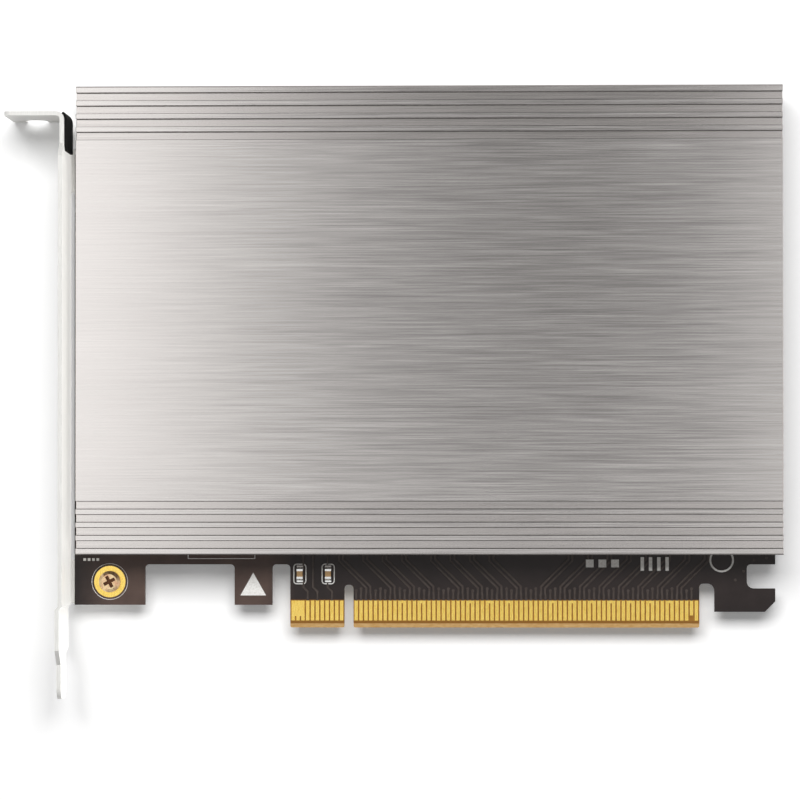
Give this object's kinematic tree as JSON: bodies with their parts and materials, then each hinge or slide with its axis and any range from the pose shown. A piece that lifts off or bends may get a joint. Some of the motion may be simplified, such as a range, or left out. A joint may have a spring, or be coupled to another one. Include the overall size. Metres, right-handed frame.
{
  "type": "nvme adapter card",
  "caption": "Full-height x16 expansion card that carries M.2 storage modules under a flat grooved aluminium cover, with a folded slot bracket.",
  "frame": {"origin": "centre line of the key slot, at the bottom edge of the edge connector, on the board's component face", "axes": "+X along the card away from the slot bracket, +Y from the edge connector to the card's top edge, +Z out of the component side"},
  "size_m": [0.1588, 0.1254, 0.0216],
  "materials": {
    "solder_mask": "semi-gloss black solder mask on glass epoxy",
    "gold_plating": "gold plate over nickel",
    "bracket_steel": "nickel-plated sheet steel",
    "cover_aluminium": "extruded, brushed along its length",
    "pad_black": "matt black",
    "thermal_pad_grey": "soft silicone, matt",
    "screw_steel": "nickel plated",
    "screw_brass": "yellow-passivated",
    "socket_plastic": "moulded, black",
    "contact_metal": "tinned and gold-flashed",
    "standoff_brass": "turned",
    "inductor_grey": "pressed iron powder",
    "chip_black": "moulded",
    "bulk_capacitor_black": "moulded",
    "ceramic_tan": "fired ceramic",
    "terminal_tin": "tin plated"
  },
  "bodies": {
    "root": {"circuit_board": "solder_mask", "edge_contacts_front": "gold_plating", "edge_contacts_back": "gold_plating", "ring_plating": "gold_plating", "slot_bracket": "bracket_steel", "bracket_screws": "screw_brass", "neck_pad": "pad_black", "heat_sink": "cover_aluminium", "heat_sink_screws": "screw_steel", "clock_buffer": "chip_black", "socket_housing_1": "socket_plastic", "socket_contacts_1": "contact_metal", "module_standoff_1": "standoff_brass", "thermal_pad_1": "thermal_pad_grey", "socket_housing_2": "socket_plastic", "socket_contacts_2": "contact_metal", "module_standoff_2": "standoff_brass", "thermal_pad_2": "thermal_pad_grey", "socket_housing_3": "socket_plastic", "socket_contacts_3": "contact_metal", "module_standoff_3": "standoff_brass", "thermal_pad_3": "thermal_pad_grey", "socket_housing_4": "socket_plastic", "socket_contacts_4": "contact_metal", "module_standoff_4": "standoff_brass", "thermal_pad_4": "thermal_pad_grey", "power_inductor_1": "inductor_grey", "regulator_1": "chip_black", "bulk_capacitor_1": "bulk_capacitor_black", "edge_capacitor_1": "ceramic_tan", "edge_capacitor_ends_1": "terminal_tin", "power_inductor_2": "inductor_grey", "regulator_2": "chip_black", "bulk_capacitor_2": "bulk_capacitor_black", "edge_capacitor_2": "ceramic_tan", "edge_capacitor_ends_2": "terminal_tin"}
  },
  "joints": []
}
